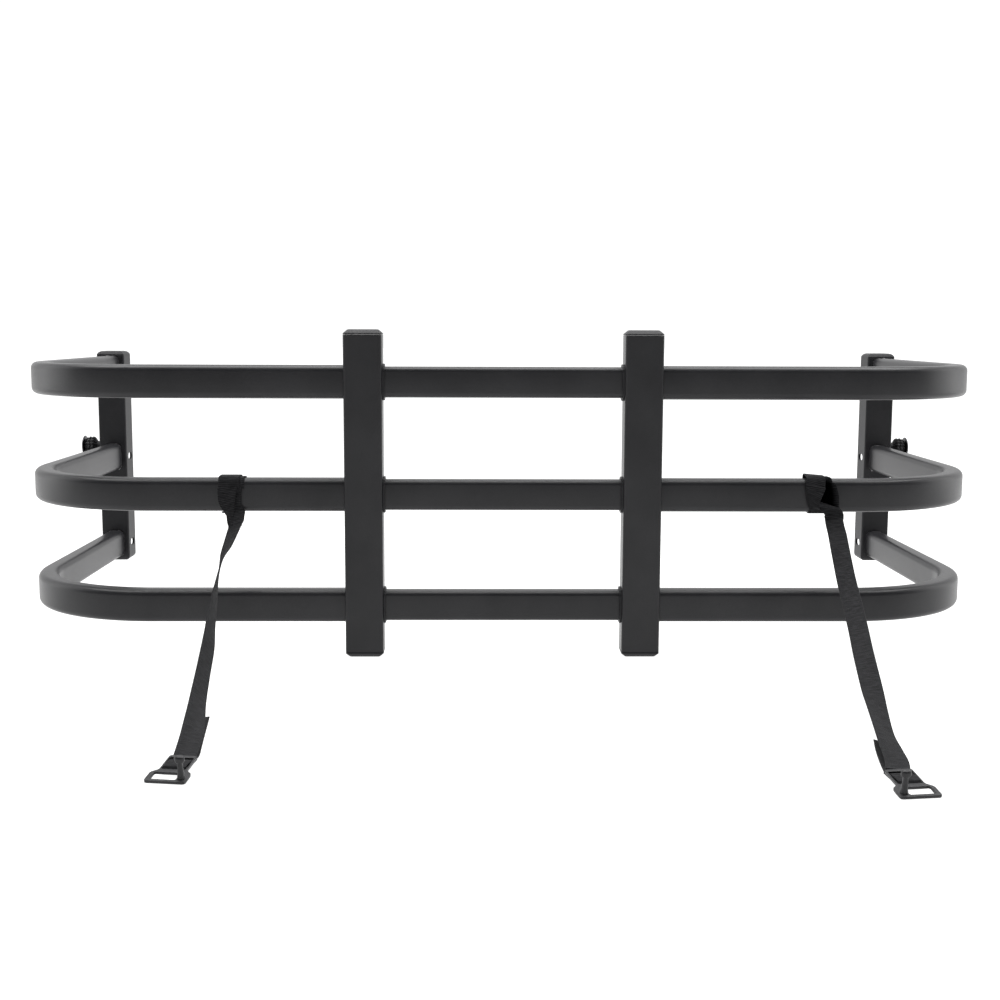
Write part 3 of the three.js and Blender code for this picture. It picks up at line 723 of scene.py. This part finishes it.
def pin_rings(side):
    """A straight round bar across the rear window, its ends inside the plate."""
    t = np.linspace(0, 2 * np.pi, 24, endpoint=False)
    u = np.linspace(-13.5, 13.5, 6)
    radius = BUCKLE["pin_radius"]
    rings = np.stack(
        [
            np.broadcast_to(u[:, None], (u.size, t.size)),
            np.broadcast_to(BUCKLE["pin_v"] + radius * np.cos(t), (u.size, t.size)),
            np.broadcast_to(BUCKLE["thick"] / 2 + radius * np.sin(t), (u.size, t.size)),
        ],
        axis=-1,
    )
    return in_frame(buckle_frame(side), rings)


buckles = {}
for side in SIDES:
    peg_side = 1 if side == "left" else -1
    plate = cast_plate(side, peg_side)
    peg = smooth(mesh_from_rings(f"cast_peg_{side}", peg_rings(side, peg_side)), 40)
    pin = smooth(mesh_from_rings(f"cross_pin_{side}", pin_rings(side)), 40)
    for piece in (plate, peg, pin):
        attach(piece, f"{side}_buckle")
    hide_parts(f"buckle_{side}")
    buckles[side] = (plate, peg, pin)
    print(side, "buckle plate has", len(plate.data.polygons), "faces")

# %% [markdown]
# Colours are chosen as they look on a screen, so one function takes such a hex colour to the linear
# values that the renderer wants. Another small function adds a node: its settings are attributes, its
# links are inputs, and it is the only way that the materials below are built.

# %% Helpers for materials
def linear(hex_colour):
    """sRGB to linear: c / 12.92 below 0.04045, and ((c + 0.055) / 1.055)^2.4 above it."""
    c = np.array([int(hex_colour[i : i + 2], 16) for i in (1, 3, 5)]) / 255
    return (*np.where(c <= 0.04045, c / 12.92, ((c + 0.055) / 1.055) ** 2.4), 1.0)


def add(tree, kind, links=None, **settings):
    """A new node. Settings are its attributes, and links are values or other nodes' outputs by input."""
    node = tree.nodes.new(kind)
    for key, value in settings.items():
        setattr(node, key, value)
    for key, value in (links or {}).items():
        if isinstance(value, bpy.types.NodeSocket):
            tree.links.new(value, node.inputs[key])
        else:
            node.inputs[key].default_value = value
    return node


def maths(tree, operation, first, second=0.0):
    return add(tree, "ShaderNodeMath", {0: first, 1: second}, operation=operation).outputs[0]


def rescale(tree, value, from_min, from_max, to_min, to_max):
    """Takes the first range to the second in a straight line, and stops at its ends."""
    ends = {"From Min": from_min, "From Max": from_max, "To Min": to_min, "To Max": to_max}
    return add(tree, "ShaderNodeMapRange", {"Value": value, **ends}).outputs[0]


def noise(tree, place, size_mm, detail, roughness=0.5):
    """Noise with blobs about size_mm across. Its scale is one over the size in metres."""
    links = {"Vector": place, "Scale": 1 / (size_mm * MM), "Detail": detail, "Roughness": roughness}
    return add(tree, "ShaderNodeTexNoise", links).outputs["Fac"]


def bump(tree, height, strength, depth_mm, below=None):
    links = {"Height": height, "Strength": strength, "Distance": depth_mm * MM}
    if below is not None:
        links["Normal"] = below
    return add(tree, "ShaderNodeBump", links).outputs[0]


def ramp(tree, fac, low, high, low_colour, high_colour):
    """A colour ramp between two places, each given as a hex colour."""
    node = add(tree, "ShaderNodeValToRGB", {"Fac": fac})
    node.color_ramp.elements[0].position = low
    node.color_ramp.elements[0].color = linear(low_colour)
    node.color_ramp.elements[1].position = high
    node.color_ramp.elements[1].color = linear(high_colour)
    return node.outputs["Color"]


def new_material(name):
    """An empty material, its node tree, and the piece's own coordinates in metres."""
    material = bpy.data.materials.new(name)
    material.use_nodes = True
    tree = material.node_tree
    tree.nodes.clear()
    return material, tree, add(tree, "ShaderNodeTexCoord").outputs["Object"]


def finish_with(tree, shader):
    add(tree, "ShaderNodeOutputMaterial", {"Surface": shader.outputs[0]})


def principled(tree, inputs):
    finish_with(tree, add(tree, "ShaderNodeBsdfPrincipled", inputs))


print("helpers ready")

# %% [markdown]
# The tubes and the uprights wear a black powder coat. Powder melts into a thin plastic film with the
# skin of an orange: soft dimples about two millimetres across, and finer grain on top. It is a
# dielectric, so the metal under it doesn't show. The dimples spread its highlight, and seen edge-on it
# turns pale. A cloudy tone seven centimetres across keeps long tubes from looking like one flat colour.

# %% Powder coat on the tubes
def grainy_black(name, dark, light, roughness, specular, dimple, grain):
    """dimple and grain are each (size across in mm, depth in mm)."""
    material, tree, place = new_material(name)
    dimples = noise(tree, place, dimple[0], 2.0)
    grains = noise(tree, place, grain[0], 1.0, 0.6)
    blotch = maths(tree, "MULTIPLY", grains, noise(tree, place, 71.4, 3.0))
    dimpled = bump(tree, dimples, 0.5, dimple[1])
    inputs = {
        "Base Color": ramp(tree, blotch, 0.12, 0.42, dark, light),
        "Roughness": rescale(tree, grains, 0.3, 0.7, roughness - 0.05, roughness + 0.07),
        "Normal": bump(tree, grains, 0.6, grain[1], dimpled),
        "Specular IOR Level": specular,
    }
    principled(tree, inputs)
    return material


powder_coat = grainy_black("black_powder_coat", "#1a1a1c", "#272729", 0.34, 0.28, (1.9, 0.10), (0.7, 0.05))

# %% [markdown]
# The caps, posts, collars and rollers are black plastic moulded with a coarser, leather-like grain. It
# scatters more, so they look flatter and a little deeper than the tubes.

# %% Moulded nylon
moulded_nylon = grainy_black(
    "moulded_nylon_grain", "#19191b", "#252527", 0.46, 0.20, (1.5, 0.12), (0.8, 0.08)
)
print("made", powder_coat.name, "and", moulded_nylon.name)

# %% [markdown]
# Screws, studs and nuts are black-oxide steel: a conversion layer on the metal itself, so it stays
# metallic, dark, and a little oily in its sheen, with faint rings from turning.

# %% Black-oxide steel
black_oxide, tree, place = new_material("black_oxide_steel")
RINGS_PER_METRE = 62.5
mottle = noise(tree, place, 3.85, 4.0)
ring_links = {"Vector": place, "Scale": RINGS_PER_METRE, "Distortion": 0.4, "Detail": 1.0}
turning = add(tree, "ShaderNodeTexWave", ring_links, wave_type="BANDS", bands_direction="X")
principled(
    tree,
    {
        "Base Color": ramp(tree, mottle, 0.35, 0.7, "#2e2e30", "#454548"),
        "Metallic": 1.0,
        "Roughness": rescale(tree, mottle, 0.0, 1.0, 0.28, 0.48),
        "Normal": bump(tree, turning.outputs["Fac"], 0.25, 0.04),
    },
)

# %% [markdown]
# The buckles are zinc castings under a thin dark grey paint. Paint is a dielectric, so it isn't
# metallic. The casting's skin is softly uneven, in patches a few millimetres across, and fine specks
# in the paint make its gloss uneven too.

# %% Painted zinc casting
painted_zinc, tree, place = new_material("painted_zinc_casting")
skin = noise(tree, place, 2.38, 4.0, 0.6)
specks = noise(tree, place, 0.625, 1.0)
principled(
    tree,
    {
        "Base Color": ramp(tree, skin, 0.3, 0.7, "#151517", "#252527"),
        "Specular IOR Level": 0.32,
        "Roughness": rescale(tree, specks, 0.3, 0.75, 0.36, 0.52),
        "Normal": bump(tree, skin, 0.5, 0.12),
    },
)

# %% [markdown]
# The straps are plain-woven polyester. Two sets of threads cross, and the height of the weave is the
# product of two slanted waves: where it is high, a thread lies on top. The real threads are about 1 mm
# apart, and are drawn 2.4 mm apart so that they still show from two metres. Rows that are a little
# tighter or looser give bands across the strap. The pattern reads the strap's own UV map, in metres,
# so it bends and twists with the webbing.

# %% Woven webbing
THREAD_MM = 2.4


def woven(name, paint_fold_shade):
    """height = sin(a + b) * sin(b - a), with a across and b along. For the inside of a fold, shade is
    painted into the colour: the tone falls to near black away from the outer edge and down the fold, as
    shade does inside the eye of a hitch, where the threads see hardly any light."""
    material, tree, place = new_material(name)
    flat = add(tree, "ShaderNodeUVMap", uv_map="webbing").outputs["UV"]
    parts = add(tree, "ShaderNodeSeparateXYZ", {"Vector": flat})
    across, along = parts.outputs["X"], parts.outputs["Y"]
    per_metre = 2 * math.pi / (THREAD_MM * MM)
    warp = maths(tree, "MULTIPLY", across, per_metre)
    weft = maths(tree, "MULTIPLY", along, per_metre / 2)
    one_way = maths(tree, "SINE", maths(tree, "ADD", warp, weft))
    other_way = maths(tree, "SINE", maths(tree, "SUBTRACT", weft, warp))
    height = rescale(tree, maths(tree, "MULTIPLY", one_way, other_way), -1.0, 1.0, 0.0, 1.0)
    threads = maths(tree, "MULTIPLY", height, noise(tree, place, 0.4545, 2.0))
    # Bands of rows: 1 / 90 m long across the strap and 1 / 420 m apart along it.
    rows = add(tree, "ShaderNodeMapping", {"Vector": flat, "Scale": (90.0, 420.0, 1.0)}).outputs[0]
    uneven = rescale(tree, noise(tree, rows, 1 / MM, 1.0), 0.3, 0.7, 0.66, 1.30)
    colour = ramp(tree, maths(tree, "MULTIPLY", threads, uneven), 0.08, 0.62, "#050506", "#373739")
    # Painted shade: inside the fold the colour is mixed towards near black. It stays lit only near the
    # outer edge and at the top of the eye.
    if paint_fold_shade:
        rim = rescale(tree, across, 0.004, 0.012, 0.0, 1.0)
        top = rescale(tree, along, 0.036, 0.052, 1.0, 0.0)
        seen = {"Factor": maths(tree, "MAXIMUM", rim, top), "A": linear("#010101"), "B": colour}
        colour = add(tree, "ShaderNodeMix", seen, data_type="RGBA").outputs["Result"]
    # Inside the fold the specular and sheen are set to nothing as well, so the painted shade stays flat
    # and dark.
    inputs = {
        "Base Color": colour,
        "Roughness": 0.85,
        "Specular IOR Level": 0.0 if paint_fold_shade else 0.10,
        "Sheen Weight": 0.0 if paint_fold_shade else 0.03,
        "Sheen Roughness": 0.4,
        "Normal": bump(tree, threads, 0.9, 0.35),
    }
    principled(tree, inputs)
    return material


webbing_cloth = woven("woven_polyester_webbing", paint_fold_shade=False)
# A second copy with shade painted into its colour, for the eye of the right hitch.
painted_shade_cloth = woven("woven_webbing_painted_fold_shade", paint_fold_shade=True)
print("thread spacing", THREAD_MM, "mm")

# %% Give every piece its material
SLOTS = {
    "powder_coat": powder_coat,
    "nylon": moulded_nylon,
    "black_steel": black_oxide,
    "zinc_casting": painted_zinc,
    "webbing": webbing_cloth,
}


def wear_slot(piece, slot):
    piece.data.materials.clear()
    piece.data.materials.append(SLOTS[slot])


for piece in tubes + [shaft for shaft in uprights if "upright" in shaft.name]:
    wear_slot(piece, "powder_coat")
for piece in uprights:
    if "cap" in piece.name:
        wear_slot(piece, "nylon")
for stud, roller in pivots:
    wear_slot(stud, "black_steel")
    wear_slot(roller, "nylon")
for side in SIDES:
    for piece in (*straps[side][:2], ends[side], *hitches[side]):
        wear_slot(piece, "webbing")
        # The eye of the right hitch wears the copy of the webbing with painted shade.
        if "eye" in piece.name:
            piece.data.materials[0] = painted_shade_cloth
    for piece in buckles[side]:
        wear_slot(piece, "zinc_casting")
for entry in frame["record"]["subparts"]:
    node = frame["nodes"][entry["node"]]
    if not node.hide_render:
        for socket in node.material_slots:
            socket.material = SLOTS[entry["material_slot"]]
print("materials:", sorted(SLOTS))

# %% [markdown]
# A plain studio. The floor is a white translucent sheet lit from below, as for a catalogue picture, so
# it stays white even under a buckle. The room is brightest behind the object and darker on the
# camera's side. Black glossy tubes show their shape only by what they reflect, so a bright back makes
# their upper faces and inner sides light, and the dark front keeps their faces black. Looked at
# directly, the room is plain white on every side. One wide soft lamp hangs above, a weaker one stands
# at each side, and a broad even light comes down from the ceiling.

# %% Floor, room and lamps
floor_mesh = bpy.data.meshes.new("studio_floor")
HALF_FLOOR = 30.0
corners = [(x * HALF_FLOOR, y * HALF_FLOOR, 0) for x, y in ((-1, -1), (1, -1), (1, 1), (-1, 1))]
floor_mesh.from_pydata(corners, [], [(0, 1, 2, 3)])
floor = bpy.data.objects.new("studio_floor", floor_mesh)
bpy.context.scene.collection.objects.link(floor)
white_sheet, tree, _ = new_material("white_sheet_lit_from_below")
sheet = add(tree, "ShaderNodeBsdfDiffuse", {"Color": linear("#8c8c8c")})
from_below = add(tree, "ShaderNodeEmission", {"Color": linear("#ffffff"), "Strength": 0.97})
finish_with(tree, add(tree, "ShaderNodeAddShader", {0: sheet.outputs[0], 1: from_below.outputs[0]}))
floor_mesh.materials.append(white_sheet)

world = bpy.data.worlds.new("studio_room")
bpy.context.scene.world = world
world.use_nodes = True
tree = world.node_tree
tree.nodes.clear()
direction = add(tree, "ShaderNodeTexCoord").outputs["Generated"]
axes = add(tree, "ShaderNodeSeparateXYZ", {"Vector": direction})
ends_of_glow = {"From Min": -0.5, "From Max": 0.7, "To Min": 0.10, "To Max": 1.05}
back_to_front = {"Value": axes.outputs["Y"], **ends_of_glow}
glow = add(tree, "ShaderNodeMapRange", back_to_front, interpolation_type="SMOOTHSTEP").outputs[0]
seen_directly = add(tree, "ShaderNodeLightPath").outputs["Is Camera Ray"]
strength = maths(tree, "MAXIMUM", seen_directly, glow)
room = add(tree, "ShaderNodeBackground", {"Color": (1, 1, 1, 1), "Strength": strength})
add(tree, "ShaderNodeOutputWorld", {"Surface": room.outputs[0]})


def lamp(name, place, target, size, watts):
    light = bpy.data.lights.new(name, "AREA")
    light.shape = "RECTANGLE"
    light.size, light.size_y = size
    light.energy = watts
    thing = bpy.data.objects.new(name, light)
    bpy.context.scene.collection.objects.link(thing)
    thing.location = place
    thing.rotation_euler = (Vector(target) - Vector(place)).to_track_quat("-Z", "Y").to_euler()


lamp("overhead_softbox", (0, -0.1, 2.6), (0, -0.1, 0), (5.0, 1.6), 150)
lamp("left_softbox", (-3.2, 0.3, 1.0), (0, 0, 0.3), (2.0, 2.0), 19)
lamp("right_softbox", (3.2, 0.3, 1.0), (0, 0, 0.3), (2.0, 2.0), 19)
sky = bpy.data.lights.new("ceiling_bounce", "SUN")
sky.energy = 1.3
sky.angle = math.radians(70)
ceiling = bpy.data.objects.new("ceiling_bounce", sky)
bpy.context.scene.collection.objects.link(ceiling)
bpy.context.scene.view_settings.view_transform = "Standard"
print("lamps:", sorted(light.name for light in bpy.data.lights))
